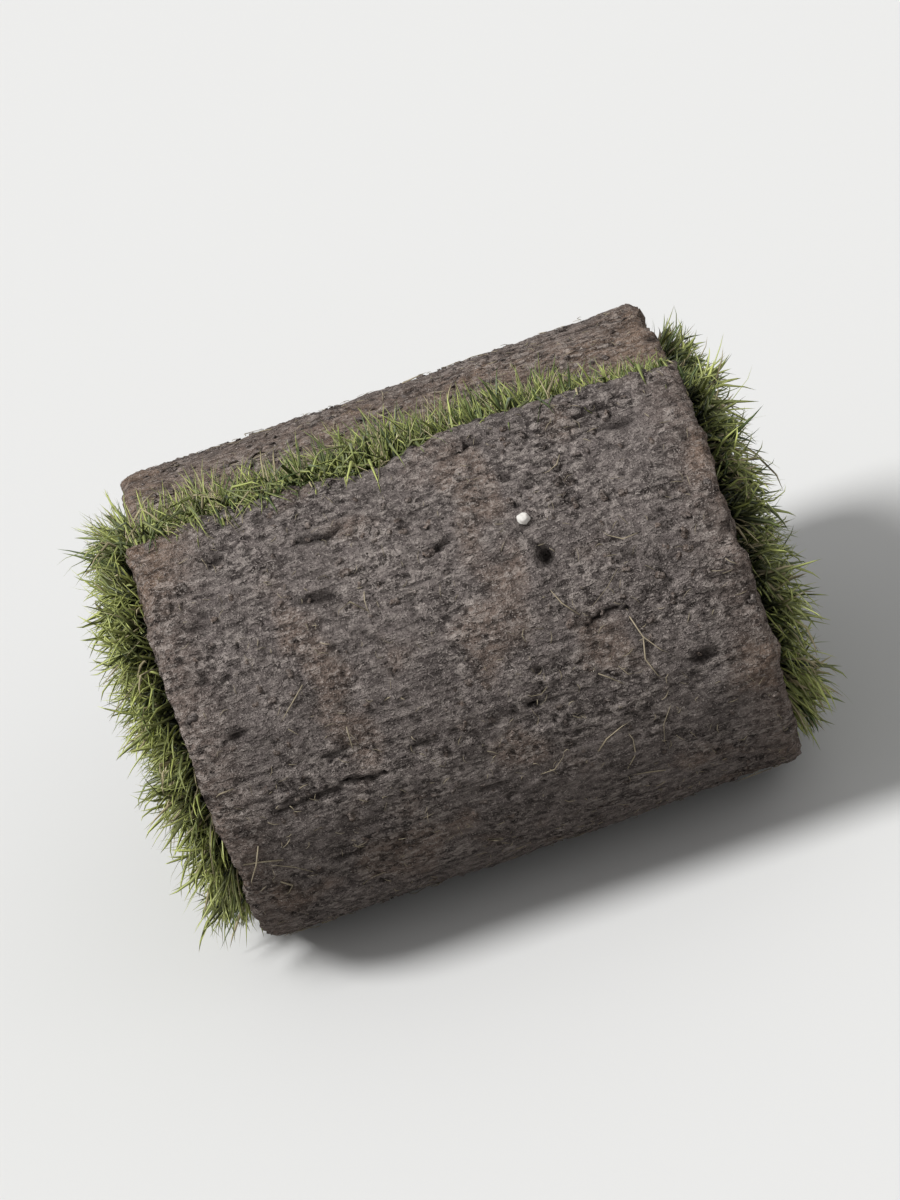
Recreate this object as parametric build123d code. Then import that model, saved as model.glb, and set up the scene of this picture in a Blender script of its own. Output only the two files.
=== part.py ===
from build123d import *
import os
from math import atan2, cos, degrees, hypot, pi, radians, sin

# The strip of turf before it was rolled
turf_length = 915.0
turf_width = 255.0
soil_thickness = 24.0
sward_thickness = 17.0

# Grass that reaches past the cut edges of the soil
side_fringe = 22.0
end_fringe = 10.0

# The hollow that the first fold closes round: a flat oval, grown by a radius
hollow_half_width = 46.0
hollow_half_height = 17.0
hollow_radius = 7.0

# Space left between the grass of one turn and the soil of the next
turn_gap = 2.0

# Where the outer end lies, as an angle from the back, over the top, to the front
lap_angle = 105.0

# The winding is drawn as arcs that each turn by this much, in degrees, and a rest that is
# shorter than the second value lengthens the last of them
arc_step = 20.0
shortest_arc = 2.0

# The soil of the outer end curls in tighter than the turns, over its first few arcs
lap_curl = 18.0
lap_curl_arcs = 3

# Crumbled rims of the cut soil, and how far the cut ends bulge
rim_round = 4.0
end_bulge = 2.5

# Bare rim left round the grass where it leaves the cut edge
fringe_inset = 1.0

# How far the roll has sunk flat under its own weight
foot_press = 3.0


def direction(angle):
    """Unit vector at an angle in the plane of the roll's end."""
    return Vector(cos(radians(angle)), sin(radians(angle)))


def hollow_point(angle):
    """Point of the hollow's flat oval where its outward normal has this angle."""
    across = hollow_half_width * cos(radians(angle))
    upward = hollow_half_height * sin(radians(angle))
    reach = hypot(across, upward)
    return Vector(hollow_half_width * across / reach, hollow_half_height * upward / reach)


def hollow_bend(angle):
    """Radius of the arc that spans one step of the hollow's oval from this angle."""
    chord = (hollow_point(angle + arc_step) - hollow_point(angle)).length
    return chord / (2.0 * sin(radians(arc_step / 2.0)))


def wind(turned):
    """Arcs of the outer face, from the outer end inwards, as (centre, radius, first, last).

    The angles are those of the outward normal. Each arc leaves the one before in its direction,
    and over a full turn the radii shrink by one thickness of turf and its gap, round the same
    centres, so that the turns lie parallel.
    """
    thickness = soil_thickness + sward_thickness
    pitch = thickness + turn_gap
    inner_end = lap_angle + turned
    arcs = []
    centre = Vector(0, 0)
    first = lap_angle
    while first < inner_end:
        unwound = pitch * (inner_end - first - arc_step / 2.0) / 360.0
        radius = hollow_bend(first) + hollow_radius + unwound + thickness
        if arcs:
            centre = centre + direction(first) * (arcs[-1][1] - radius)
        last = first + arc_step
        if last > inner_end - shortest_arc:
            last = inner_end
        arcs.append((centre, radius, first, last))
        first = last
    return arcs


def curl(arcs):
    """The arcs of the soil, which leave the winding near the outer end and curl in."""
    shift = direction(arcs[lap_curl_arcs][2]) * lap_curl
    lap = [(centre + shift, radius - lap_curl, a, b) for centre, radius, a, b in arcs]
    return lap[:lap_curl_arcs] + arcs[lap_curl_arcs:]


def soil_length(turned):
    """Length of the soil's middle line when the strip turns through an angle in all."""
    middle = soil_thickness / 2.0
    return sum(radians(last - a) * (radius - middle) for _, radius, a, last in curl(wind(turned)))


def angle_for_length(length):
    """Angle through which a strip of this length turns, found by halving."""
    low = arc_step * (lap_curl_arcs + 1)
    high = 360.0 * length / (pi * (soil_thickness + sward_thickness))
    while high - low > 0.0001:
        middle = (low + high) / 2.0
        if soil_length(middle) < length:
            low = middle
        else:
            high = middle
    return low


def face_at(arcs, depth):
    """The same arcs, at a depth under the outer face."""
    return [CenterArc(centre, radius - depth, a, b - a) for centre, radius, a, b in arcs]


def start_from(arcs, point):
    """The arcs, with the first one lengthened or cut to start opposite a point."""
    centre, radius, _, last = arcs[0]
    sight = point - centre
    return [(centre, radius, degrees(atan2(sight.Y, sight.X)), last)] + arcs[1:]


def stop_short(arcs, length):
    """The arcs, cut by a length at the inner end."""
    *rest, (centre, radius, first, last) = arcs
    run = radius * radians(last - first)
    if run <= length:
        return stop_short(rest, length - run)
    return [*rest, (centre, radius, first, last - degrees(length / radius))]


def cut_end(start, end):
    """Cut across the strip, bulging a little to the right of its direction."""
    along = (end - start).normalized()
    outward = Vector(along.Y, -along.X)
    return ThreePointArc(start, (start + end) / 2.0 + outward * end_bulge, end)


def layer_outline(outer, inner):
    """Outline of a layer between its outer and inner arcs, with both cut ends."""
    inner_end = cut_end(outer[-1] @ 1, inner[-1] @ 1)
    outer_end = cut_end(inner[0] @ 0, outer[0] @ 0)
    return [*outer, inner_end, *inner, outer_end]


def make_winding(arcs):
    """The wound strip: soil outside, grass inside, and crumbled outer rims."""
    soil = curl(arcs)
    outer = face_at(soil, 0.0)
    soil_foot = face_at(soil, soil_thickness)[0] @ 0
    grass_end = soil_foot + direction(lap_angle - 90.0) * end_fringe
    inner = face_at(start_from(arcs, grass_end), soil_thickness + sward_thickness)
    outline = [
        *outer,
        cut_end(outer[-1] @ 1, inner[-1] @ 1),
        *inner,
        cut_end(inner[0] @ 0, grass_end),
        Line(grass_end, soil_foot),
        cut_end(soil_foot, outer[0] @ 0),
    ]
    section = Plane.YZ.offset(-turf_width / 2.0) * make_face(outline)
    winding = extrude(section, amount=turf_width)
    return fillet(outer_rims(winding, outer), rim_round)


def outer_rims(winding, outer):
    """The edges of both ends that follow the soil's outer face."""
    middles = [edge @ 0.5 for edge in outer]

    def on_rim(edge):
        point = edge @ 0.5
        return any(hypot(point.Y - middle.X, point.Z - middle.Y) < 0.01 for middle in middles)

    return winding.edges().filter_by(GeomType.CIRCLE).filter_by(on_rim)


def make_side_grass(arcs, side):
    """The grass that sticks out past one end of the roll, all along the strip."""
    inset = fringe_inset + end_bulge
    outer = face_at(stop_short(curl(arcs), inset), soil_thickness + fringe_inset)
    grass = start_from(stop_short(arcs, inset), outer[0] @ 0)
    inner = face_at(grass, soil_thickness + sward_thickness - fringe_inset)
    section = Plane.YZ.offset(side * turf_width / 2.0) * make_face(layer_outline(outer, inner))
    return extrude(section, amount=side * side_fringe)


def settle(roll):
    """Presses the underside flat and stands the roll on the floor."""
    box = roll.bounding_box()
    floor = box.min.Z + foot_press
    middle = box.center()
    standing = Pos(-middle.X, -middle.Y, -floor) * roll
    return split(standing, Plane.XY, keep=Keep.TOP)


arcs = wind(angle_for_length(turf_length))
roll = settle(make_winding(arcs) + [make_side_grass(arcs, side) for side in (-1, 1)])
print("turns", round((arcs[-1][3] - lap_angle) / 360.0, 3), "box", roll.bounding_box())

os.makedirs("parts", exist_ok=True)
export_step(roll, "parts/turf_roll.step")
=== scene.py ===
from math import cos, radians, sin

import bmesh
import bpy
import numpy as np
from bpy.props import FloatProperty, FloatVectorProperty, IntProperty, PointerProperty
from mathutils import Matrix, Vector, noise


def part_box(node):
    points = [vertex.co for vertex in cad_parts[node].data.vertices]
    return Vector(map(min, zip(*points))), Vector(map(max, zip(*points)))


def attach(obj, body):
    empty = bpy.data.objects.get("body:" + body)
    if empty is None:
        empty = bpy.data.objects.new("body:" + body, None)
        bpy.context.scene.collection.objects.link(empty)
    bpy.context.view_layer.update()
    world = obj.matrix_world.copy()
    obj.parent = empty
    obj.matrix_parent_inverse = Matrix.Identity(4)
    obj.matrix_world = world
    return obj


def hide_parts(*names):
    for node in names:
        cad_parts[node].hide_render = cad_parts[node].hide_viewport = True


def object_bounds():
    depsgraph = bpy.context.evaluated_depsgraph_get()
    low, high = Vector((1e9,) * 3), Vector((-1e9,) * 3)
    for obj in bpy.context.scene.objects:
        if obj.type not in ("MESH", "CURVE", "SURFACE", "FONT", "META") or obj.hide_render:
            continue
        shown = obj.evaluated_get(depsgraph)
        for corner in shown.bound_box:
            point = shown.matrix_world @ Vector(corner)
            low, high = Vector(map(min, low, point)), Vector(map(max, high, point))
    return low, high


bl_info = {
    "name": "Roll of turf",
    "version": (1, 0, 0),
    "blender": (4, 5, 0),
    "location": "3D View > Sidebar > Turf",
    "description": "Dresses a roll of turf with crumbling soil, pressed sward, grass and straw",
    "category": "Object",
}

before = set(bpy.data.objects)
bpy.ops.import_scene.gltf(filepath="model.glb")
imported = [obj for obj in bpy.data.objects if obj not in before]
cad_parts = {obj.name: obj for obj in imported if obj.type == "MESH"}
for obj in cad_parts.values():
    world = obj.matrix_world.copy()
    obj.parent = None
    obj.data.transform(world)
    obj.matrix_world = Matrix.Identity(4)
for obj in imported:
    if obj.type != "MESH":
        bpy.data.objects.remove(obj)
cad_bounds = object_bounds()
NODE = "turf_roll"
BODY = "root"

# The larger cracks: right of the middle, along from the outer end, and how long
CRACKS = (
    (0.086, 0.016, 0.024),
    (0.028, 0.013, 0.016),
    (-0.038, 0.030, 0.014),
    (0.002, 0.052, 0.018),
    (-0.092, 0.024, 0.012),
    (0.061, 0.098, 0.020),
    (-0.060, 0.128, 0.022),
)

# How far round from the outer end the fine soil and the litter go, in degrees
FINE_TURN = 375.0
LITTER_TURN = 350.0

# Each lamp's place, in metres, and how wide it looks, in degrees
LAMPS = {
    "key": ((-1.25, -0.45, 1.8), 18.0),
    "fill": ((1.4, -1.8, 1.3), 60.0),
}

# How far the floor reaches from the roll
FLOOR_REACH = 20.0

# The stretch of a pattern that is even all ways
EVEN = (1.0, 1.0, 1.0)

# The outer face ends at this depth
SKIN = 0.001

# How near the soil, its crumbs and the blades come to the floor
SOIL_CLEARANCE = 0.0003
CRUMB_CLEARANCE = 0.0004
BLADE_CLEARANCE = 0.0015

# How far the crumbs keep from the middle of the worm hole
HOLE_CLEARANCE = 0.006


def metres(name, description, default):
    """A property for a length in metres."""
    return FloatProperty(name=name, description=description, default=default, min=0.0,
                         unit="LENGTH", precision=4)


def amount(name, description, default):
    """A property for a plain number."""
    return FloatProperty(name=name, description=description, default=default)


def tint(name, description, default):
    """A property for a plain colour."""
    return FloatVectorProperty(name=name, description=description, default=default, size=3,
                               min=0.0, max=1.0, subtype="COLOR")


def count(name, description, default):
    """A property for a number of like things."""
    return IntProperty(name=name, description=description, default=default, min=0)


class TurfSizes(bpy.types.PropertyGroup):
    """The strip of turf and how it is wound."""

    strip_length: metres("Strip length", "Length of the strip along its soil", 0.915)
    strip_width: metres("Strip width", "Width of the cut strip", 0.255)
    soil_thickness: metres("Soil", "Thickness of the cut soil", 0.024)
    sward_thickness: metres("Sward", "Thickness of the pressed grass", 0.017)
    turn_gap: metres("Turn gap", "Space between two turns", 0.002)
    hollow_half_width: metres("Hollow half width", "Flat oval that the first fold leaves", 0.046)
    hollow_half_height: metres("Hollow half height", "Flat oval that the first fold leaves", 0.017)
    hollow_radius: metres("Hollow radius", "Radius that the flat oval is grown by", 0.007)
    foot_press: metres("Foot press", "How far the roll has sunk flat", 0.003)
    lap_curl: metres("Lap curl", "How far the outer end curls in", 0.018)
    lap_curl_arcs: count("Lap curl arcs", "Arcs over which the outer end curls", 3)
    lap_angle: amount("Lap angle", "Where the outer end lies, in degrees", 105.0)
    arc_step: amount("Arc step", "Turn of each arc, in degrees", 20.0)
    shortest_arc: amount("Shortest arc", "A shorter rest lengthens the arc before it, in degrees", 2.0)


class SoilLook(bpy.types.PropertyGroup):
    """The cut soil, its crumbs and its colours."""

    cell: metres("Cell", "Size of the soil's faces where they show", 0.00155)
    hidden_cell: metres("Hidden cell", "Size of the soil's faces under the outer turn", 0.0045)
    rim: metres("Rim", "Width of the crumbled rims", 0.006)
    swell: metres("Swell", "Height of the broad swells", 0.0018)
    lump: metres("Lump", "Height of the lumps that run with the cut", 0.0007)
    grain: metres("Grain", "Height of the rounded grains", 0.0010)
    speck: metres("Speck", "Height of the finest unevenness", 0.0009)
    pit: metres("Pit", "Depth of the pits", 0.0015)
    tear: metres("Tear", "Depth of the torn streaks", 0.0018)
    crack: metres("Crack", "Depth of the larger cracks", 0.0030)
    crumbs: count("Crumbs", "Loose crumbs on the outer face", 1500)
    seed: count("Seed", "Start of the random draws", 11)
    grey: tint("Grey soil", "Colour of most of the soil", (0.205, 0.174, 0.163))
    red: tint("Warm soil", "Colour of the redder patches", (0.290, 0.200, 0.146))
    pale: tint("Pale crumbs", "Colour of the driest crumbs", (0.580, 0.510, 0.465))
    # The darkest soil; the same colour is the painted shade in the cracks, pits, worm hole and creases
    dark_and_painted_shade: tint("Dark soil", "Colour in the cracks and pits", (0.026, 0.021, 0.019))


class GrassLook(bpy.types.PropertyGroup):
    """The blades of grass and their colours."""

    left_blades: count("Left blades", "Blades that stick out past the left end", 7600)
    right_blades: count("Right blades", "Blades that stick out past the right end", 5000)
    lap_blades: count("Lap blades", "Blades that stick out under the outer end", 6200)
    hollow_blades: count("Hollow blades", "Blades that line the hollow", 7600)
    blade_width: metres("Blade width", "Width of a blade at its widest", 0.0022)
    blade_length: metres("Blade length", "Length of a long blade", 0.040)
    reach: metres("Reach", "Furthest that a blade reaches past the cut soil", 0.031)
    stand: metres("Stand", "How far the blades stand above the outer end's soil", 0.010)
    shaded: amount("Shaded", "Share of its paleness that the dimmest blade reaches", 0.50)
    seed: count("Seed", "Start of the random draws", 23)
    bright: tint("Bright blade", "Colour of the youngest blades", (0.700, 0.760, 0.240))
    green: tint("Green blade", "Colour of most blades", (0.120, 0.170, 0.046))
    deep: tint("Deep blade", "Colour of the shaded foot of a blade", (0.010, 0.015, 0.006))
    straw: tint("Dry blade", "Colour of the dead blades", (0.520, 0.450, 0.270))
    thatch: tint("Thatch", "Colour of the matted stems", (0.075, 0.066, 0.038))


class LitterLook(bpy.types.PropertyGroup):
    """Straw, root fibres and the stone on the soil."""

    straws: count("Straws", "Dead stalks lying on the soil", 70)
    fibres: count("Fibres", "Short root ends standing in the soil", 1300)
    stone_size: metres("Stone", "Width of the white stone", 0.0056)
    stone_from_middle: metres("Stone across", "Place of the stone, right of the middle", 0.041)
    stone_from_lap: metres("Stone down", "Place of the stone, from the outer end", 0.053)
    seed: count("Seed", "Start of the random draws", 37)
    root: tint("Root", "Colour of the roots and straws", (0.460, 0.390, 0.270))
    hole_across: metres("Hole across", "Worm hole, right of the stone", 0.004)
    hole_along: metres("Hole down", "Worm hole, further along than the stone", 0.016)
    hole_depth: metres("Hole depth", "Depth of the worm hole", 0.0065)
    hole_mound: metres("Hole mound", "Height of the ring round the worm hole", 0.0012)
    stone: tint("Stone", "Colour of the stone", (0.760, 0.735, 0.690))


class StageLook(bpy.types.PropertyGroup):
    """Floor, lights and camera."""

    distance: metres("Distance", "Camera to the middle of the roll", 1.78)
    elevation: amount("Elevation", "Camera above the floor, in degrees", 29.0)
    lean: amount("Lean", "How far the roll's axis rises in the picture, in degrees", 19.0)
    lens: amount("Lens", "Focal length in millimetres", 116.0)
    floor: tint("Floor", "Colour of the floor", (0.76, 0.76, 0.75))
    bounce: tint("Bounce", "Colour of the floor in the light it throws back", (0.20, 0.19, 0.18))
    key: amount("Key", "Strength of the main lamp", 2.8)
    fill: amount("Fill", "Strength of the fill lamp", 0.30)
    sky: amount("Sky", "Strength of the light all round", 0.34)
    backdrop: amount("Backdrop", "How pale the camera sees the sky", 0.82)


# Shader maths

class Value:
    """The output of a shader node, which plain arithmetic turns into more nodes."""

    def __init__(self, finish, output):
        self.finish = finish
        self.output = output

    def math(self, operation, *others):
        inputs = dict(enumerate((self, *others)))
        return self.finish.node("ShaderNodeMath", {"operation": operation}, inputs)

    def __add__(self, other):
        return self.math("ADD", other)

    def __sub__(self, other):
        return self.math("SUBTRACT", other)

    def __mul__(self, other):
        return self.math("MULTIPLY", other)

    def __rsub__(self, other):
        return self.finish.node("ShaderNodeMath", {"operation": "SUBTRACT"}, {0: other, 1: self})

    __radd__ = __add__
    __rmul__ = __mul__

    def over(self, low, high):
        """Where this value lies between two others, held to 0 and 1 and eased."""
        settings = {"interpolation_type": "SMOOTHSTEP"}
        return self.finish.node("ShaderNodeMapRange", settings, {0: self, 1: low, 2: high})


class Finish:
    """A material, or the sky, being built from nodes."""

    def __init__(self, owner, shader="Principled BSDF"):
        owner.use_nodes = True
        self.tree = owner.node_tree
        self.shader = self.tree.nodes[shader]
        self.material = owner

    def node(self, kind, settings=None, inputs=None, output=0):
        """Adds a node, its settings first, and returns one of its outputs."""
        added = self.tree.nodes.new(kind)
        for name, setting in (settings or {}).items():
            setattr(added, name, setting)
        for socket, value in (inputs or {}).items():
            self.feed(added.inputs[socket], value)
        return Value(self, added.outputs[output])

    def feed(self, socket, value):
        """Links a value to a socket, or writes a plain number or colour on it."""
        if isinstance(value, Value):
            self.tree.links.new(value.output, socket)
        elif socket.type == "RGBA":
            socket.default_value = (*value[:3], 1.0)
        else:
            socket.default_value = value

    def set(self, **values):
        """Sets sockets of the shader, named in lower case with underscores."""
        for name, value in values.items():
            self.feed(self.shader.inputs[name.replace("_", " ").title()], value)

    def place(self, stretch=EVEN):
        """Places on the piece in metres, stretched along each axis."""
        where = self.node("ShaderNodeTexCoord", output="Object")
        return self.node("ShaderNodeMapping", {}, {"Vector": where, "Scale": stretch})

    def grain(self, size, detail=2.0, roughness=0.5, stretch=EVEN):
        """Noise with spots of about this size in metres, between 0 and 1."""
        inputs = {"Vector": self.place(stretch), "Scale": 1.0 / size, "Detail": detail,
                  "Roughness": roughness}
        return self.node("ShaderNodeTexNoise", {}, inputs)

    def crumbs(self, size, stretch=EVEN, output="Distance"):
        """Cells of about this size in metres: the height of each, or a random shade for it."""
        settings = {"feature": "SMOOTH_F1"} if output == "Distance" else {"feature": "F1"}
        inputs = {"Vector": self.place(stretch), "Scale": 1.0 / size, "Randomness": 1.0}
        cells = self.node("ShaderNodeTexVoronoi", settings, inputs, output=output)
        return 1.0 - cells if output == "Distance" else cells

    def attribute(self, name):
        """A value that each point of the mesh carries."""
        return self.node("ShaderNodeAttribute", {"attribute_name": name}, output="Fac")

    def seen(self):
        """1 for what the camera sees, straight or in a gloss or glass, else 0."""
        kinds = ("Camera", "Glossy", "Transmission")
        rays = [self.node("ShaderNodeLightPath", output=f"Is {kind} Ray") for kind in kinds]
        return rays[0] + rays[1] + rays[2]

    def mix(self, share, first, second):
        """A colour between two others."""
        inputs = {0: share, 6: first, 7: second}
        return self.node("ShaderNodeMix", {"data_type": "RGBA"}, inputs, output=2)

    def bump(self, height, distance, normal=None):
        """A normal bent by a height, whose full range is worth a distance in metres."""
        inputs = {"Height": height, "Distance": distance}
        if normal:
            inputs["Normal"] = normal
        return self.node("ShaderNodeBump", {}, inputs)


def soil_finish(look):
    """Dry cut soil: crumbs of uneven tone, warmer in patches, with painted shade in its pits, cracks,
    worm hole and creases.
    """
    finish = Finish(bpy.data.materials.new("cut_soil"))
    cavity = finish.attribute("cavity")
    warm = finish.attribute("warm")
    along_axis = (0.65, 1.0, 1.0)
    crumb_size = 0.0026
    blotch = finish.grain(0.016, detail=4.0, roughness=0.65, stretch=along_axis)
    rough = finish.grain(0.030).over(0.38, 0.60) * 0.55 + 0.45
    crumb = finish.crumbs(crumb_size, stretch=along_axis)
    crumb_shade = finish.crumbs(crumb_size, stretch=along_axis, output="Color")
    grain = finish.grain(0.0021, detail=3.0, roughness=0.7, stretch=along_axis)
    streaks = finish.grain(0.0030, detail=3.0, roughness=0.6, stretch=(0.16, 1.0, 1.0))
    specks = finish.grain(0.0009, roughness=0.6)
    # The crumb, grain and streak patterns also raise the bumps below: their dark ends paint shade into
    # the creases, and their pale ends, with the specks, make the rises paler; the blotches and crumb
    # shades are tones at random
    # Each pattern, where its shade starts and is full, how strong it is, and the shade
    shades = (
        (blotch, 0.52, 0.34, 0.35, look.dark_and_painted_shade),
        (crumb_shade, 0.50, 0.95, rough * 0.50, look.pale),
        (crumb_shade, 0.42, 0.08, rough * 0.75, look.dark_and_painted_shade),
        (crumb, 0.52, 0.38, rough * 0.55, look.dark_and_painted_shade),
        (streaks, 0.46, 0.34, 0.60, look.dark_and_painted_shade),
        (streaks, 0.56, 0.70, 0.25, look.pale),
        (grain, 0.52, 0.68, rough * 0.60, look.pale),
        (grain, 0.46, 0.32, rough * 0.95, look.dark_and_painted_shade),
        (specks, 0.57, 0.67, 0.60, look.pale),
    )
    colour = finish.mix(warm, look.grey, look.red)
    for pattern, bare, full, strength, shade in shades:
        colour = finish.mix(pattern.over(bare, full) * strength, colour, shade)
    # Painted shade in the pits, tears, cracks, worm hole and creases, and each loose crumb's own
    # darker tone
    colour = finish.mix(cavity * 0.90, colour, look.dark_and_painted_shade)
    normal = None
    for pattern, height in ((crumb, 0.0016), (grain, 0.0026), (streaks, 0.0022), (specks, 0.0011)):
        normal = finish.bump(pattern, height, normal)
    finish.set(base_color=colour, roughness=0.95, normal=normal)
    finish.shader.inputs["Specular IOR Level"].default_value = 0.15
    return finish.material


def grass_finish(look):
    """Blades: painted shade deep at the foot, green to bright along the blade, and some of them dry.
    """
    finish = Finish(bpy.data.materials.new("grass"))
    along = finish.attribute("along")
    tone = finish.attribute("tone")
    dry = finish.attribute("dry")
    mottle = finish.grain(0.004)
    tone_and_light = finish.mix(tone, look.green, look.bright)
    # Painted shade: deep at each blade's foot, and further up on the dimmer blades; the dry blades
    # darken to thatch by the same measure
    foot = along.over(0.05, 0.85) + (mottle - 0.5) * 0.3
    blade = finish.mix(foot, look.deep, tone_and_light)
    withered = finish.mix(along.over(0.0, 0.5), look.thatch, look.straw)
    colour = finish.mix(dry, blade, withered)
    roughness = dry * 0.25 + 0.42
    finish.set(base_color=colour, roughness=roughness, normal=finish.bump(mottle, 0.0003))
    return finish.material


def thatch_finish(look, soil):
    """Matted stems between the soil and the blades, with painted shade between the strands."""
    finish = Finish(bpy.data.materials.new("thatch"))
    strands = finish.grain(0.0022, detail=3.0, roughness=0.6, stretch=(0.5, 1.0, 1.0))
    tufts = finish.grain(0.008)
    # Painted shade: the gaps between the strands go deep and dark
    colour = finish.mix(strands.over(0.35, 0.65), look.deep, look.thatch)
    colour = finish.mix(tufts.over(0.5, 0.7) * 0.5, colour, look.green)
    colour = finish.mix(strands.over(0.42, 0.30) * 0.8, colour, soil.dark_and_painted_shade)
    finish.set(base_color=colour, roughness=0.9, normal=finish.bump(strands, 0.002))
    return finish.material


def root_finish(look):
    """Straws and root ends, each darker or paler at random, and mottled."""
    finish = Finish(bpy.data.materials.new("root"))
    tone = finish.attribute("tone")
    dim, stained = (tuple(share * part for part in look.root) for share in (0.45, 0.6))
    mottle = finish.grain(0.003)
    colour = finish.mix(mottle.over(0.45, 0.75) * 0.5, finish.mix(tone, dim, look.root), stained)
    finish.set(base_color=colour, roughness=0.75, normal=finish.bump(mottle, 0.0002))
    return finish.material


def stone_finish(look, soil):
    """A pale stone, stained by the soil."""
    finish = Finish(bpy.data.materials.new("stone"))
    stain = finish.grain(0.0022, detail=3.0, roughness=0.6)
    colour = finish.mix(stain.over(0.52, 0.75) * 0.6, look.stone, soil.pale)
    finish.set(base_color=colour, roughness=0.55, normal=finish.bump(stain, 0.0004))
    return finish.material


def floor_finish(look):
    """A plain pale floor, which throws less light back than its paleness would."""
    finish = Finish(bpy.data.materials.new("floor"))
    finish.set(base_color=finish.mix(finish.seen(), look.bounce, look.floor), roughness=0.9)
    return finish.material


# The route of the strip round the roll

class Winding:
    """Turns places on the flat strip into places on the roll.

    The strip's outer face follows arcs of arc_step degrees, from its outer end inwards. Over a
    full turn the radii shrink by one thickness of turf and its gap, so the turns lie parallel.
    """

    def __init__(self, sizes):
        self.sizes = sizes
        self.thickness = sizes.soil_thickness + sizes.sward_thickness
        arcs = self.curled(self.wound(self.angle_for_length()))
        self.centre = np.array([arc[0] for arc in arcs])
        self.radius = np.array([arc[1] for arc in arcs])
        self.first = np.radians([arc[2] for arc in arcs])
        self.turned = arcs[-1][3] - sizes.lap_angle
        self.half = sizes.strip_width / 2.0
        spans = np.radians([arc[3] - arc[2] for arc in arcs])
        self.middle = self.radius - sizes.soil_thickness / 2.0
        runs = spans * self.middle
        self.starts = np.concatenate([[0.0], np.cumsum(runs)[:-1]])
        self.length = float(runs.sum())
        self.settle()

    def oval_bend(self, angle):
        """Radius of the arc that spans one step of the hollow's flat oval."""
        sizes = self.sizes
        half = np.array([sizes.hollow_half_width, sizes.hollow_half_height])
        ends = np.radians([angle, angle + sizes.arc_step])
        outward = np.stack([np.cos(ends), np.sin(ends)], axis=1) * half
        points = half * outward / np.linalg.norm(outward, axis=1, keepdims=True)
        chord = np.linalg.norm(points[1] - points[0])
        return chord / (2.0 * sin(radians(sizes.arc_step / 2.0)))

    def wound(self, turned):
        """Arcs as (centre, radius, first, last) of a strip that turns this many degrees."""
        sizes = self.sizes
        pitch = self.thickness + sizes.turn_gap
        inner_end = sizes.lap_angle + turned
        arcs = []
        centre = np.zeros(2)
        first = sizes.lap_angle
        while first < inner_end:
            unwound = pitch * (inner_end - first - sizes.arc_step / 2.0) / 360.0
            radius = self.oval_bend(first) + sizes.hollow_radius + unwound + self.thickness
            if arcs:
                centre = centre + outward_at(radians(first)) * (arcs[-1][1] - radius)
            last = first + sizes.arc_step
            if last > inner_end - sizes.shortest_arc:
                last = inner_end
            arcs.append((centre, radius, first, last))
            first = last
        return arcs

    def curled(self, arcs):
        """The arcs with the first few moved in, so that the outer end curls."""
        sizes = self.sizes
        shift = outward_at(radians(arcs[sizes.lap_curl_arcs][2])) * sizes.lap_curl
        lap = [(centre + shift, radius - sizes.lap_curl, a, b) for centre, radius, a, b in arcs]
        return lap[:sizes.lap_curl_arcs] + arcs[sizes.lap_curl_arcs:]

    def angle_for_length(self):
        """Degrees through which the whole strip turns, found by halving."""
        sizes = self.sizes
        low = sizes.arc_step * (sizes.lap_curl_arcs + 1)
        high = 360.0 * sizes.strip_length / (np.pi * self.thickness)
        while high - low > 0.0001:
            middle = (low + high) / 2.0
            arcs = self.curled(self.wound(middle))
            reach = sum(radians(b - a) * (r - sizes.soil_thickness / 2.0) for _, r, a, b in arcs)
            if reach < sizes.strip_length:
                low = middle
            else:
                high = middle
        return low

    def settle(self):
        """Moves the arcs so that the roll stands where the frame has it."""
        along = np.linspace(0.0, self.length, 4000)
        face = self.points(along, np.zeros_like(along), 0.0)
        low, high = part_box(NODE)
        shift_y = (low.y + high.y) / 2.0 - (face[:, 1].min() + face[:, 1].max()) / 2.0
        shift_z = -face[:, 2].min() - self.sizes.foot_press
        self.centre = self.centre + np.array([shift_y, shift_z])

    def angles(self, along):
        """Which arc each place is on, and its outward angle in radians."""
        index = np.clip(np.searchsorted(self.starts, along, side="right") - 1, 0, None)
        return index, self.first[index] + (along - self.starts[index]) / self.middle[index]

    def along_at(self, turned):
        """Distance along the strip at which it has turned this many degrees."""
        angle = radians(self.sizes.lap_angle + turned)
        index = int(np.clip(np.searchsorted(self.first, angle, side="right") - 1, 0, None))
        return float(self.starts[index] + (angle - self.first[index]) * self.middle[index])

    def points(self, along, across, depth):
        """Places on the roll of places on the strip, depth measured in from its outer face."""
        index, angle = self.angles(along)
        reach = self.radius[index] - depth
        y = self.centre[index, 0] + reach * np.cos(angle)
        z = self.centre[index, 1] + reach * np.sin(angle)
        return np.stack([across, y, z], axis=-1)

    def room(self, along):
        """Depth left for the pressed grass, which is less where the outer end curls in."""
        sizes = self.sizes
        _, angle = self.angles(along)
        curl_end = radians(sizes.lap_angle + sizes.arc_step * sizes.lap_curl_arcs)
        before = np.clip(curl_end - angle, 0.0, None)
        return sizes.sward_thickness - sizes.lap_curl * (1.0 - np.cos(before))


def outward_at(angle):
    """Unit vector at an angle in the plane of the roll's end."""
    return np.array([cos(angle), sin(angle)])


# Meshes

def noise_at(points, size, octaves=1, seed=0.0, stretch=EVEN):
    """Soft noise at each point, with bumps of about this size, from -1 to 1."""
    places = (points * stretch / size + seed).tolist()
    return np.array([noise.fractal(place, 1.0, 2.0, octaves) for place in places])


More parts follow.
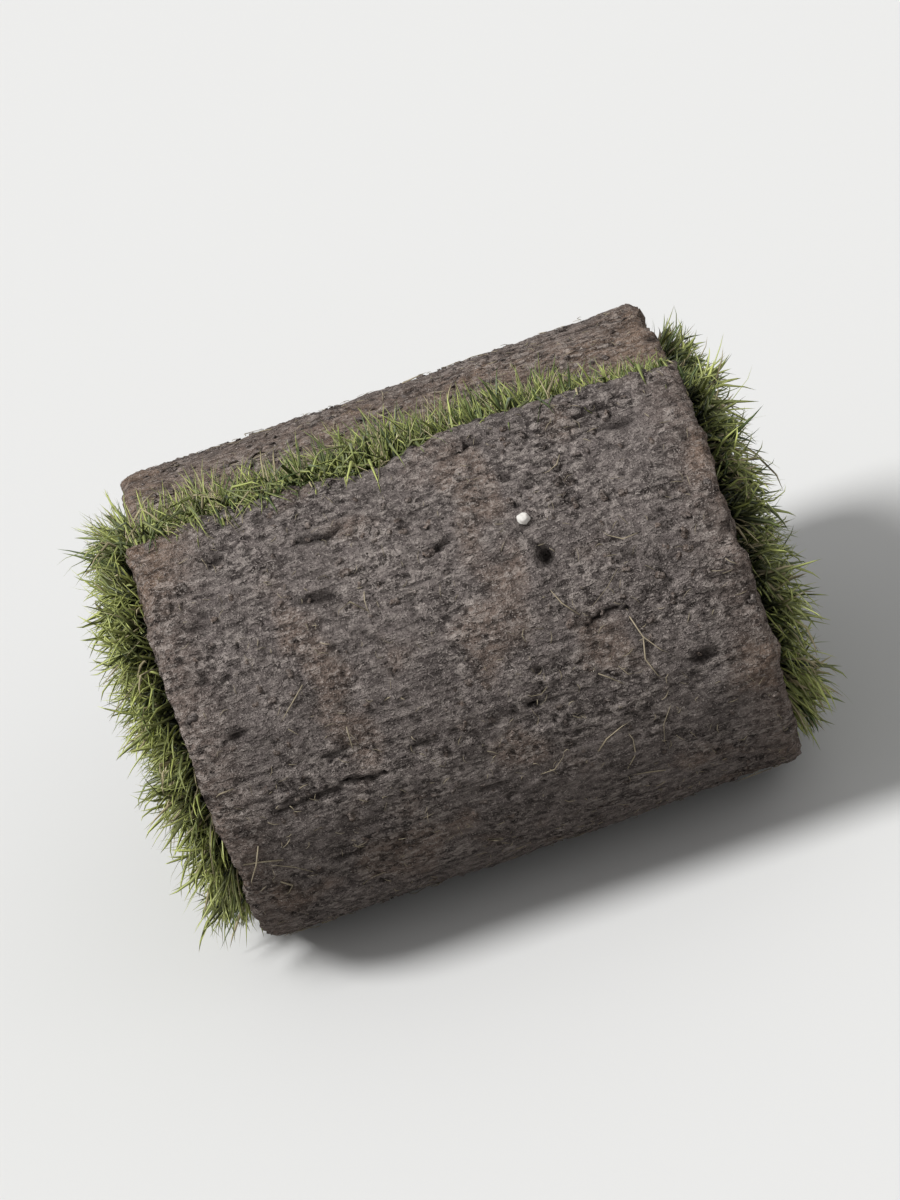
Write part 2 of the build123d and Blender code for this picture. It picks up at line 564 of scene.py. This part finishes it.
def grains_at(points, size, seed, stretch):
    """Rounded grains of about this size: 1 in the middle of each, 0 in the creases."""
    places = (points * stretch / size + seed).tolist()
    nearest = np.array([noise.voronoi(place)[0][0] for place in places])
    return np.clip(1.0 - nearest * 1.6, 0.0, 1.0)


def rows_of(across, along, depth):
    """One row of across, along and depth for each thing on the strip."""
    return np.stack(np.broadcast_arrays(across, along, depth), axis=1)


def flat_points(bm):
    """The places of a mesh's points, and the ways that they face."""
    return (np.array([vert.co[:] for vert in bm.verts]),
            np.array([vert.normal[:] for vert in bm.verts]))


def ease(value, low, high):
    """0 up to low, 1 from high, smooth between."""
    share = np.clip((value - low) / (high - low), 0.0, 1.0)
    return share * share * (3.0 - 2.0 * share)


def slab(width, thickness, columns, stations, layers):
    """A flat closed slab: X across, Y along at the stations given, and -Z into its depth.

    Its top is a fine grid, its walls have rows of faces, and its underside is one face wide.
    """
    bm = bmesh.new()
    rows = len(stations) - 1
    bmesh.ops.create_grid(bm, x_segments=columns, y_segments=rows, size=0.5)
    for vert in bm.verts:
        vert.co.y = stations[round((vert.co.y + 0.5) * rows)]
    bmesh.ops.scale(bm, vec=(width, 1.0, 1.0), verts=bm.verts)
    rim = [edge for edge in bm.edges if edge.is_boundary]
    for _ in range(layers):
        grown = bmesh.ops.extrude_edge_only(bm, edges=rim)["geom"]
        lower = [part for part in grown if isinstance(part, bmesh.types.BMVert)]
        bmesh.ops.translate(bm, vec=(0.0, 0.0, -thickness / layers), verts=lower)
        rim = [part for part in grown if isinstance(part, bmesh.types.BMEdge) and part.is_boundary]
    start, end = stations[1], stations[-2]
    sides = [edge for edge in rim if all(start <= vert.co.y <= end for vert in edge.verts)]
    bmesh.ops.bridge_loops(bm, edges=sides)
    open_edges = [edge for edge in bm.edges if edge.is_boundary]
    caps = bmesh.ops.edgeloop_fill(bm, edges=open_edges)["faces"]
    bmesh.ops.triangulate(bm, faces=caps)
    bmesh.ops.recalc_face_normals(bm, faces=bm.faces)
    bm.normal_update()
    return bm


def stations_to(middle, end, fine, coarse):
    """Rows along the strip: fine ones up to the middle, and coarse ones after it."""
    shown = np.linspace(0.0, middle, max(2, round(middle / fine)) + 1)
    hidden = np.linspace(middle, end, max(2, round((end - middle) / coarse)) + 1)
    return np.concatenate([shown, hidden[1:]]).tolist()


def finished(name, bm, points, material, **attributes):
    """Puts the points in the mesh, makes the object and gives each point its attributes."""
    for vert, point in zip(bm.verts, points.tolist()):
        vert.co = point
    mesh = bpy.data.meshes.new(name)
    bm.to_mesh(mesh)
    bm.free()
    return linked(name, mesh, material, attributes)


def linked(name, mesh, material, attributes):
    """Links the object of a mesh, shaded smooth, and writes its attributes."""
    for key, values in attributes.items():
        layer = mesh.attributes.new(key, "FLOAT", "POINT")
        layer.data.foreach_set("value", np.ascontiguousarray(values, dtype=np.float32))
    mesh.materials.append(material)
    mesh.shade_smooth()
    piece = bpy.data.objects.new(name, mesh)
    bpy.context.scene.collection.objects.link(piece)
    return piece


def placed(piece):
    """Attaches the piece to the body that it rides on and hides the model's part that it replaces."""
    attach(piece, BODY)
    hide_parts(NODE)


class Pattern:
    """A small closed shape that is repeated many times in one mesh."""

    def __init__(self, bm):
        bmesh.ops.triangulate(bm, faces=bm.faces)
        bmesh.ops.recalc_face_normals(bm, faces=bm.faces)
        bm.verts.index_update()
        self.points, _ = flat_points(bm)
        self.faces = np.array([[vert.index for vert in face.verts] for face in bm.faces])
        bm.free()

    def repeat(self, name, points, material, **attributes):
        """One mesh of many copies, whose points are given as copy, point, coordinate."""
        copies, size = points.shape[:2]
        faces = self.faces + (np.arange(copies) * size)[:, None, None]
        mesh = bpy.data.meshes.new(name)
        mesh.from_pydata(points.reshape(-1, 3).tolist(), [], faces.reshape(-1, 3).tolist())
        flat = {key: np.broadcast_to(value, (copies, size)).ravel()
                for key, value in attributes.items()}
        return linked(name, mesh, material, flat)


def stalk_pattern(cuts, crease):
    """A closed three-sided stalk: X across, Y its crease, and Z along it from 0 to 1."""
    bm = bmesh.new()
    bmesh.ops.create_cone(bm, cap_ends=True, segments=3, radius1=0.5, radius2=0.5, depth=1.0)
    bmesh.ops.translate(bm, vec=(0.0, 0.0, 0.5), verts=bm.verts)
    for cut in cuts:
        geometry = bm.verts[:] + bm.edges[:] + bm.faces[:]
        bmesh.ops.bisect_plane(bm, geom=geometry, plane_co=(0.0, 0.0, cut),
                               plane_no=(0.0, 0.0, 1.0))
    tip = [vert for vert in bm.verts if vert.co.z > 0.999]
    bmesh.ops.pointmerge(bm, verts=tip, merge_co=(0.0, 0.0, 1.0))
    bmesh.ops.scale(bm, vec=(1.0, crease, 1.0), verts=bm.verts)
    return Pattern(bm)


def grow(pattern, spine, width, rng):
    """Lays a stalk of some width along each spine, facing any way.

    spine holds the points of each stalk's middle line, evenly spaced.
    """
    steps = spine.shape[1] - 1
    along = pattern.points[:, 2]
    lower = np.minimum((along * steps).astype(int), steps - 1)
    share = (along * steps - lower)[:, None]
    middle = spine[:, lower] * (1.0 - share) + spine[:, lower + 1] * share
    tangent = np.gradient(spine, axis=1)
    tangent = tangent[:, lower] * (1.0 - share) + tangent[:, lower + 1] * share
    tangent = tangent / np.linalg.norm(tangent, axis=2, keepdims=True)
    side = np.cross(tangent, rng.normal(size=(len(spine), 1, 3)))
    side = side / np.maximum(np.linalg.norm(side, axis=2, keepdims=True), 1e-6)
    front = np.cross(side, tangent)
    taper = np.interp(along, [0.0, 0.3, 0.7, 1.0], [0.75, 1.0, 0.8, 0.0])
    spread = (width[:, None] * taper)[:, :, None]
    across, creased = pattern.points[:, :1], pattern.points[:, 1:2]
    return middle + spread * (side * across + front * creased)


# Soil

def soil_relief(points, look, litter):
    """How far each point of the flat soil moves out, and how much painted shade it gets in its creases
    and hollows.
    """
    with_cut = (0.70, 1.0, 1.0)
    swell = noise_at(points, 0.060, octaves=3) * look.swell
    lumps = noise_at(points, 0.013, 2, 3.1, (0.4, 1.0, 1.0)) * look.lump
    grains = (grains_at(points, 0.0036, 1.7, with_cut) - 0.45) * look.grain
    small = noise_at(points, 0.0030, 2, 7.3, with_cut) * look.speck
    patchy = ease(noise_at(points, 0.040, 2, 2.2), -0.25, 0.30)
    pits = ease(noise_at(points, 0.0050, 2, 5.9, with_cut), 0.42, 0.66) * patchy
    tears = ease(noise_at(points, 0.0075, 1, 9.2, (0.26, 1.0, 1.0)), 0.50, 0.66)
    outer = points[:, 2] > -SKIN
    mouth, bottom, ring, ring_spread = 0.0046, 0.0018, 0.0072, 0.0042
    away = hole_distance(points[:, 0], points[:, 1], litter)
    hole = ease(-away, -mouth, -bottom) * outer
    mound = ease(-np.abs(away - ring), -ring_spread, 0.0) * outer
    cracks = cracks_at(points) * outer
    height = swell + lumps + (grains + small) * (0.45 + 0.65 * patchy)
    height += mound * litter.hole_mound - hole * litter.hole_depth
    height -= pits * look.pit + tears * look.tear + cracks * look.crack
    # Painted shade: the creases between the grains, and the pits, tears, worm hole and cracks, darken
    # with their depth
    crease_shade_per_metre = 300.0
    low = np.clip(-(grains + small) * crease_shade_per_metre - 0.02, 0.0, 0.5)
    depth = np.clip(pits * 0.7 + tears * 0.85 + hole + cracks + low, 0.0, 1.0)
    return height, depth


def hole_distance(across, along, litter):
    """How far places on the strip are from the middle of the worm hole."""
    hole_across = litter.stone_from_middle + litter.hole_across
    hole_along = litter.stone_from_lap + litter.hole_along
    return np.hypot(across - hole_across, along - hole_along)


def cracks_at(points):
    """How deep each point lies in one of the larger cracks, which run along the roll's axis."""
    deepest = np.zeros(len(points))
    wander, half_width, wave, shift = 0.0016, 0.0021, 4.0, 300.0
    for across, along, long in CRACKS:
        bend = wander * np.sin((points[:, 0] - across) / long * wave + along * shift)
        aside = np.abs(points[:, 1] - along - bend)
        lengthways = np.abs(points[:, 0] - across) / (long / 2.0)
        width = half_width * np.sqrt(np.clip(1.0 - lengthways, 0.0, 1.0)) + 1e-6
        deepest = np.maximum(deepest, ease(-aside / width, -1.0, -0.2) * (lengthways < 1.0))
    return deepest


def soil_warmth(points, half, lap_end):
    """How red the soil is: in faint patches, along the cut rims and beyond the lap."""
    rim, corner_across, corner_along, most = 0.030, 0.045, 0.05, 0.9
    patches = ease(noise_at(points, 0.038, 3, 21.0), 0.12, 0.55) * 0.45
    rims = ease(np.abs(points[:, 0]), half - rim, half) * 0.35
    beyond = ease(points[:, 1], lap_end - 0.16, lap_end - 0.05) * 0.8
    corner = ease(-points[:, 0], half - corner_across, half)
    corner *= ease(-points[:, 1], -corner_along, 0.0)
    return np.clip(patches + rims + beyond + corner, 0.0, most)


def crumble_rims(points, half, length, look):
    """Rounds and bites the edges of the flat soil."""
    moved = points.copy()
    across, along = points[:, 0], points[:, 1]
    fall = 0.0018
    ragged = noise_at(points, 0.021, 3, 12.5, (0.2, 1.0, 1.0))
    bites = noise_at(points, 0.006, 2, 15.2)
    inset = np.clip(0.0016 + ragged * 0.0036 + bites * 0.0014, 0.0, 0.008)
    near_side = ease(np.abs(across), half - look.rim * 1.5, half)
    moved[:, 0] -= np.sign(across) * near_side * inset
    uneven = noise_at(points, 0.034, 3, 18.4, (1.0, 0.2, 1.0))
    cut = np.clip(uneven * 0.0056 + bites * 0.0018 + 0.0020, -0.001, 0.010)
    near_start = ease(-along, -look.rim * 2.0, 0.0)
    near_end = ease(along, length - look.rim * 2.0, length)
    moved[:, 1] += (near_start - near_end) * cut
    edge = np.minimum(half - np.abs(across), np.minimum(along, length - along))
    round_off = ease(-edge, -look.rim * 0.7, 0.0) * ease(points[:, 2], -look.rim * 0.7, 0.0)
    moved[:, 2] -= round_off * fall
    return moved


def make_soil(winding, look, litter, material):
    """The wound strip of cut soil."""
    sizes = winding.sizes
    lap_end = winding.along_at(FINE_TURN)
    stations = stations_to(lap_end, winding.length, look.cell, look.hidden_cell)
    columns = round(sizes.strip_width / look.cell)
    bm = slab(sizes.strip_width, sizes.soil_thickness, columns, stations, layers=7)
    flat, normals = flat_points(bm)
    height, depth = soil_relief(flat, look, litter)
    warmth = soil_warmth(flat, winding.half, lap_end)
    shaped = crumble_rims(flat, winding.half, sizes.strip_length, look) + normals * height[:, None]
    points = winding.points(shaped[:, 1], shaped[:, 0], -shaped[:, 2])
    points[:, 2] = np.maximum(points[:, 2], SOIL_CLEARANCE)
    piece = finished("soil", bm, points, material, cavity=depth, warm=warmth)
    placed(piece)


def make_thatch(winding, look, soil):
    """The mat of stems under the blades, set back from every cut edge."""
    sizes = winding.sizes
    set_back, under, lumps, overlap = 0.007, 0.004, 0.0018, 0.001
    stations = np.linspace(under, winding.length - under, 250).tolist()
    bm = slab(sizes.strip_width - 2.0 * set_back, sizes.sward_thickness - under, 44, stations,
              layers=4)
    flat, normals = flat_points(bm)
    shaped = flat + normals * (noise_at(flat, 0.006, octaves=3) * lumps)[:, None]
    squeeze = winding.room(shaped[:, 1]) / sizes.sward_thickness
    depth = sizes.soil_thickness - overlap - shaped[:, 2] * squeeze
    points = winding.points(shaped[:, 1], shaped[:, 0], depth)
    piece = finished("thatch", bm, points, thatch_finish(look, soil))
    placed(piece)


# Grass

def bowed_path(root, start, end, length, steps, sway):
    """Points of each blade on the flat strip, as it turns from a first way to a last way."""
    share = (np.arange(steps)[:, None] + 0.5) / steps
    way = start[:, None] * (1.0 - share) + end[:, None] * share
    way = way / np.linalg.norm(way, axis=2, keepdims=True)
    way = way + sway[:, None] * (share - 0.5)
    reached = np.cumsum(way * (length / steps)[:, None, None], axis=1)
    return root[:, None] + np.pad(reached, ((0, 0), (1, 0), (0, 0)))


def hang(winding, path, droop=0.0):
    """Winds each blade's path round the roll.

    It droops by its own weight, more towards its tip, but not into the floor.
    """
    spine = winding.points(path[..., 1], path[..., 0], path[..., 2])
    share = np.linspace(0.0, 1.0, path.shape[1])
    spine[..., 2] -= np.reshape(droop, (-1, 1)) * share ** 2
    spine[..., 2] = np.maximum(spine[..., 2], BLADE_CLEARANCE)
    return spine


def bowed_under(spine, ceiling):
    """Bows the blades over, so that none stands above the ceiling."""
    spine = spine.copy()
    ease_in = 0.010
    excess = np.clip(spine[..., 2] - (ceiling - ease_in), 0.0, None)
    spine[..., 2] += ease_in * np.tanh(excess / ease_in) - excess
    return spine


def in_tufts(rng, number, low, high, tuft, spread):
    """Places between two ends, gathered in tufts of about this many blades."""
    tufts = rng.uniform(low, high, number // tuft)
    return np.clip(rng.choice(tufts, number) + rng.normal(0.0, spread, number), low, high)


def blade_mesh(name, spine, rng, look, material, tone_and_light, spread):
    """One mesh of blades along their spines; their tones spread about a mean which is partly painted
    light on the group.
    """
    number = len(spine)
    tone = np.clip(tone_and_light + rng.normal(0.0, spread, number), 0.0, 1.0)
    pattern = stalk_pattern(cuts=(0.3, 0.6, 0.85), crease=0.22)
    width = look.blade_width * rng.uniform(0.45, 1.15, number)
    points = grow(pattern, spine, width, rng)
    # Painted shade: a dimmer blade's colour stays nearer its deep foot all along
    lit = rng.uniform(look.shaded, 1.0, number)[:, None]
    along = pattern.points[None, :, 2] * lit
    withered = ease(noise_at(spine[:, 0], 0.035, 2, 30.0), 0.10, 0.50)
    dry = (rng.random(number) < 0.09 + 0.22 * withered).astype(float)[:, None]
    piece = pattern.repeat(name, points, material, along=along, tone=tone[:, None], dry=dry)
    placed(piece)


def make_end_grass(winding, look, material, side):
    """Blades that stick out past one end of the roll, all along the strip."""
    soil = winding.sizes.soil_thickness
    rng = np.random.default_rng(look.seed + 5 + side)
    # Each end's name, its blades, their length and their mean tone; the left end's paler mean tone is
    # painted light
    kinds = {-1: ("grass_left_end", look.left_blades, 1.0, 0.66),
             1: ("grass_right_end", look.right_blades, 0.90, 0.52)}
    name, number, lush, tone_and_light = kinds[side]
    along = in_tufts(rng, number, 0.0, winding.length, tuft=12, spread=0.0026)
    back = rng.exponential(0.004, number).clip(0.0, 0.018)
    depth = soil + rng.uniform(-0.001, 0.6, number) * winding.room(along)
    root = rows_of(side * (winding.half - back), along, depth)
    clump = noise_at(rows_of(0.0, along, 0.0), 0.022, 3, 4.0 + side)
    length = look.blade_length * (0.62 + 0.40 * clump + rng.uniform(-0.32, 0.32, number)) * lush
    trodden = ease(along, 0.06, 0.24) - ease(along, 0.34, 0.44)
    length = np.clip(length, 0.009, look.reach * 1.35) * (1.0 - 0.16 * trodden) + back * 0.6
    start = rows_of(side * rng.uniform(0.5, 1.3, number), rng.normal(0.0, 0.65, number),
                    rng.uniform(-0.35, 0.6, number))
    end = rows_of(side * rng.uniform(-0.25, 1.2, number), rng.normal(0.0, 1.05, number),
                  rng.normal(-0.40, 0.9, number))
    path = bowed_path(root, start, end, length, 4, rng.normal(0.0, 0.55, (number, 3)))
    path[..., 0] = side * np.minimum(side * path[..., 0], winding.half + look.reach)
    inside = (side * path[..., 0] < winding.half) & (path[..., 2] > -SKIN)
    pressed = np.clip(path[..., 2], soil, soil + winding.room(path[..., 1]))
    path[..., 2] = np.where(inside, pressed, path[..., 2])
    spine = hang(winding, path, rng.uniform(0.0, 0.012, number))
    tone_and_light = tone_and_light + ease(-along, -0.30, 0.0) * 0.25 + 0.5 * clump
    blade_mesh(name, spine, rng, look, material, tone_and_light, 0.36)


def make_lap_grass(winding, look, material):
    """Blades that stand up behind the edge of the outer end, and some that fold over it."""
    soil, half = winding.sizes.soil_thickness, winding.half
    rng = np.random.default_rng(look.seed + 11)
    number = look.lap_blades
    across = in_tufts(rng, number, -half, half, tuft=7, spread=0.0025)
    along = rng.exponential(0.004, number).clip(0.0, 0.016) - 0.002
    room = winding.room(along)
    root = rows_of(across, along, soil + rng.uniform(0.0, 0.9, number) * room)
    thin_right = 1.0 - 0.42 * ease(across, 0.35 * half, half)
    clump = noise_at(rows_of(across, 0.0, 0.0), 0.024, 3, 8.0)
    length = (0.040 + 0.009 * clump + rng.uniform(-0.018, 0.009, number)) * thin_right
    start = rows_of(rng.normal(0.0, 0.30, number), -1.0, rng.uniform(-0.35, 0.15, number))
    end = rows_of(rng.normal(0.0, 0.65, number), rng.uniform(-1.1, 0.1, number),
                  rng.uniform(-1.2, -0.1, number))
    folded = rng.random(number) < 0.04 + 0.20 * ease(-across, 0.0, half)
    root[folded, 1] = rng.uniform(-0.003, 0.0, folded.sum())
    root[folded, 2] = soil + rng.uniform(0.0, 0.3, folded.sum()) * room[folded]
    start[folded, 1:] = (-0.55, -1.1)
    end[folded, 1] = rng.uniform(0.3, 1.4, folded.sum())
    end[folded, 2] = rng.uniform(-0.3, 0.7, folded.sum())
    path = bowed_path(root, start, end, length, 5, rng.normal(0.0, 0.30, (number, 3)))
    path[..., 2] = np.minimum(path[..., 2], (soil + room)[:, None])
    over_soil = folded[:, None] & (path[..., 1] > 0.0)
    path[..., 2] = np.where(over_soil, np.minimum(path[..., 2], -0.0008), path[..., 2])
    spine = hang(winding, path, rng.uniform(0.0, 0.005, number))
    spine = bowed_under(spine, cad_bounds[1].z + look.stand)
    blade_mesh("grass_outer_end", spine, rng, look, material, 0.40 + 0.45 * clump, 0.40)


def make_hollow_grass(winding, look, material):
    """Blades that line the hollow and close it with their tangle."""
    sizes, half = winding.sizes, winding.half
    rng = np.random.default_rng(look.seed + 17)
    number = look.hollow_blades
    facing_hollow = winding.along_at(winding.turned - 360.0)
    along = rng.uniform(facing_hollow, winding.length, number)
    side = np.where(rng.random(number) < 0.5, -1.0, 1.0)
    back = np.where(rng.random(number) < 0.55, rng.exponential(0.018, number),
                    rng.uniform(0.0, half, number)).clip(0.0, half)
    depth = sizes.soil_thickness + rng.uniform(0.3, 0.9, number) * sizes.sward_thickness
    root = rows_of(side * (half - back), along, depth)
    length = look.blade_length * rng.uniform(0.5, 1.2, number)
    start = rows_of(side * rng.uniform(-0.1, 1.0, number), rng.normal(0.0, 0.5, number),
                    rng.uniform(0.3, 1.2, number))
    end = rows_of(side * rng.uniform(0.0, 1.3, number), rng.normal(0.0, 0.9, number),
                  rng.uniform(-0.5, 0.8, number))
    path = bowed_path(root, start, end, length, 4, rng.normal(0.0, 0.25, (number, 3)))
    limit = half + look.reach
    path[..., 0] = np.clip(path[..., 0], -limit, limit)
    spine = hang(winding, path, rng.uniform(0.0, 0.012, number))
    # The hollow's blades take a darker mean tone: painted shade inside the hollow
    blade_mesh("grass_hollow", spine, rng, look, material, 0.35, 0.28)


# Litter

def make_straw(winding, litter):
    """Dead stalks and root ends on the outer face."""
    rng = np.random.default_rng(litter.seed)
    half = winding.half - 0.006
    shown = winding.along_at(LITTER_TURN)
    material = root_finish(litter)
    pattern = stalk_pattern(cuts=(0.4, 0.8), crease=0.7)
    # How many of each, how long and wide, and how steeply the steepest rises
    kinds = {"straw": (litter.straws, 0.015, 0.0008, 0.15),
             "root_fibres": (litter.fibres, 0.0040, 0.00042, 0.5)}
    for name, (number, long, wide, steep) in kinds.items():
        root = rows_of(rng.uniform(-half, half, number), rng.uniform(0.004, shown, number), -0.0004)
        heading = rng.uniform(0.0, 2.0 * np.pi, number)
        turn = heading + rng.normal(0.0, 1.2, number)
        rise = -rng.uniform(0.0, steep, number)
        start = rows_of(np.cos(heading), np.sin(heading), rise)
        end = rows_of(np.cos(turn), np.sin(turn), -rise * 0.5)
        length = long * rng.uniform(0.5, 1.6, number)
        path = bowed_path(root, start, end, length, 4, rng.normal(0.0, 0.2, (number, 3)))
        path[..., 0] = np.clip(path[..., 0], -half, half)
        path[..., 1] = np.maximum(path[..., 1], 0.002)
        path[..., 2] = np.minimum(path[..., 2], -0.0002)
        spine = hang(winding, path)
        width = wide * rng.uniform(0.6, 1.4, number)
        points = grow(pattern, spine, width, rng)
        tone = rng.uniform(0.2, 1.0, number)[:, None]
        placed(pattern.repeat(name, points, material, tone=tone))


def lump_pattern(roughness, subdivisions, seed):
    """A rounded, uneven lump, one unit wide."""
    bm = bmesh.new()
    bmesh.ops.create_icosphere(bm, subdivisions=subdivisions, radius=0.5)
    for vert in bm.verts:
        vert.co *= 1.0 + roughness * noise.noise(vert.co * 2.3 + Vector((seed, 0.0, 0.0)))
    return Pattern(bm)


def make_stone(winding, soil, litter):
    """The white stone set in the outer face."""
    pattern = lump_pattern(roughness=0.35, subdivisions=4, seed=3.7)
    local = pattern.points * litter.stone_size * (1.0, 0.85, 0.75)
    points = winding.points(litter.stone_from_lap + local[:, 1],
                            litter.stone_from_middle + local[:, 0], -0.0012 - local[:, 2])
    piece = pattern.repeat("white_stone", points[None], stone_finish(litter, soil))
    placed(piece)


def make_crumbs(winding, soil, litter, material):
    """Loose crumbs sitting in the outer face."""
    rng = np.random.default_rng(soil.seed)
    half = winding.half - 0.004
    across = rng.uniform(-half, half, soil.crumbs)
    along = rng.uniform(0.006, winding.along_at(LITTER_TURN), soil.crumbs)
    clear = hole_distance(across, along, litter) > HOLE_CLEARANCE
    across, along = across[clear, None], along[clear, None]
    number = len(across)
    pattern = lump_pattern(roughness=1.3, subdivisions=2, seed=1.3)
    size = 0.0014 + rng.exponential(0.0006, number).clip(0.0, 0.0022)
    spin = rng.uniform(0.0, 2.0 * np.pi, number)[:, None]
    local = pattern.points * (size[:, None, None] * (1.35, 1.0, 0.8))
    x, y, z = np.moveaxis(local, 2, 0)
    turned_x = x * np.cos(spin) - y * np.sin(spin)
    turned_y = x * np.sin(spin) + y * np.cos(spin)
    points = winding.points(along + turned_y, across + turned_x, 0.0003 - z)
    points[..., 2] = np.maximum(points[..., 2], CRUMB_CLEARANCE)
    # Each loose crumb is darkened by a random amount: a tone of its own
    cavity = rng.uniform(0.0, 0.25, number)[:, None]
    warm = rng.uniform(0.0, 0.5, number)[:, None]
    piece = pattern.repeat("crumbs", points, material, cavity=cavity, warm=warm)
    placed(piece)


# Stage

def make_floor(look):
    """A wide plain floor."""
    bm = bmesh.new()
    bmesh.ops.create_grid(bm, x_segments=1, y_segments=1, size=FLOOR_REACH)
    corners, _ = flat_points(bm)
    floor = finished("floor", bm, corners, floor_finish(look))


def make_lamp(name, place, strength, spread):
    """A far, soft lamp that shines from a place towards the roll."""
    lamp = bpy.data.lights.new(name, "SUN")
    lamp.energy = strength
    lamp.angle = radians(spread)
    holder = bpy.data.objects.new(name, lamp)
    turn = (-Vector(place)).to_track_quat("-Z", "Y")
    holder.matrix_world = Matrix.Translation(place) @ turn.to_matrix().to_4x4()
    bpy.context.scene.collection.objects.link(holder)


def make_sky(look):
    """Even light all round, which the camera sees as pale as the floor."""
    world = bpy.data.worlds.new("sky")
    finish = Finish(world, "Background")
    finish.set(color=(1.0, 1.0, 1.0), strength=finish.seen() * (look.backdrop - look.sky) + look.sky)
    bpy.context.scene.world = world


def make_camera(look):
    """A camera in front of the roll, leaning so that the roll's axis rises to the right."""
    low, high = cad_bounds
    target = (Vector(low) + Vector(high)) / 2.0
    tilt = Matrix.Rotation(radians(90.0 - look.elevation), 4, "X")
    turn = tilt @ Matrix.Rotation(radians(-look.lean), 4, "Z")
    back = turn.to_3x3().col[2]
    data = bpy.data.cameras.new("camera")
    data.lens = look.lens
    data.sensor_fit = "VERTICAL"
    data.sensor_height = 36.0
    camera = bpy.data.objects.new("camera", data)
    camera.matrix_world = Matrix.Translation(target + back * look.distance) @ turn
    bpy.context.scene.collection.objects.link(camera)
    bpy.context.scene.camera = camera


# Operators and panel

class TURF_OT_stage(bpy.types.Operator):
    """Add the floor, the lamps and the camera"""

    bl_idname = "turf.stage"
    bl_label = "Stage"

    def execute(self, context):
        look = context.scene.turf_stage
        make_camera(look)
        make_floor(look)
        make_sky(look)
        for name, (place, spread) in LAMPS.items():
            make_lamp(name, place, getattr(look, name), spread)
        context.scene.view_settings.view_transform = "Standard"
        return {"FINISHED"}


class TURF_OT_soil(bpy.types.Operator):
    """Add the wound strip of soil and its crumbs"""

    bl_idname = "turf.soil"
    bl_label = "Soil"

    def execute(self, context):
        scene = context.scene
        winding = Winding(scene.turf_sizes)
        material = soil_finish(scene.turf_soil)
        make_soil(winding, scene.turf_soil, scene.turf_litter, material)
        make_crumbs(winding, scene.turf_soil, scene.turf_litter, material)
        return {"FINISHED"}


class TURF_OT_grass(bpy.types.Operator):
    """Add the thatch and the blades at the ends, the outer edge and the hollow"""

    bl_idname = "turf.grass"
    bl_label = "Grass"

    def execute(self, context):
        scene = context.scene
        winding, look = Winding(scene.turf_sizes), scene.turf_grass
        make_thatch(winding, look, scene.turf_soil)
        material = grass_finish(look)
        for side in (-1, 1):
            make_end_grass(winding, look, material, side)
        make_lap_grass(winding, look, material)
        make_hollow_grass(winding, look, material)
        return {"FINISHED"}


class TURF_OT_litter(bpy.types.Operator):
    """Add the straw, the root ends and the white stone"""

    bl_idname = "turf.litter"
    bl_label = "Litter"

    def execute(self, context):
        scene = context.scene
        winding = Winding(scene.turf_sizes)
        make_straw(winding, scene.turf_litter)
        make_stone(winding, scene.turf_soil, scene.turf_litter)
        return {"FINISHED"}


class TURF_PT_sidebar(bpy.types.Panel):
    """The roll's pieces, in the order in which they are made"""

    bl_idname = "TURF_PT_sidebar"
    bl_label = "Roll of turf"
    bl_space_type = "VIEW_3D"
    bl_region_type = "UI"
    bl_category = "Turf"

    def draw(self, context):
        for operator in OPERATORS:
            self.layout.operator(operator.bl_idname)


GROUPS = {
    "turf_sizes": TurfSizes,
    "turf_soil": SoilLook,
    "turf_grass": GrassLook,
    "turf_litter": LitterLook,
    "turf_stage": StageLook,
}
OPERATORS = (TURF_OT_stage, TURF_OT_soil, TURF_OT_grass, TURF_OT_litter)


def register():
    """Registers the classes and hangs the settings on the scene."""
    for added in (*GROUPS.values(), *OPERATORS, TURF_PT_sidebar):
        bpy.utils.register_class(added)
    for name, group in GROUPS.items():
        setattr(bpy.types.Scene, name, PointerProperty(type=group))


def unregister():
    """Takes off what register put on."""
    for name in GROUPS:
        delattr(bpy.types.Scene, name)
    for added in reversed((*GROUPS.values(), *OPERATORS, TURF_PT_sidebar)):
        bpy.utils.unregister_class(added)


def main():
    """Builds the stage and the pieces."""
    register()
    bpy.ops.turf.stage()
    bpy.ops.turf.soil()
    bpy.ops.turf.grass()
    bpy.ops.turf.litter()


if __name__ == "__main__":
    main()
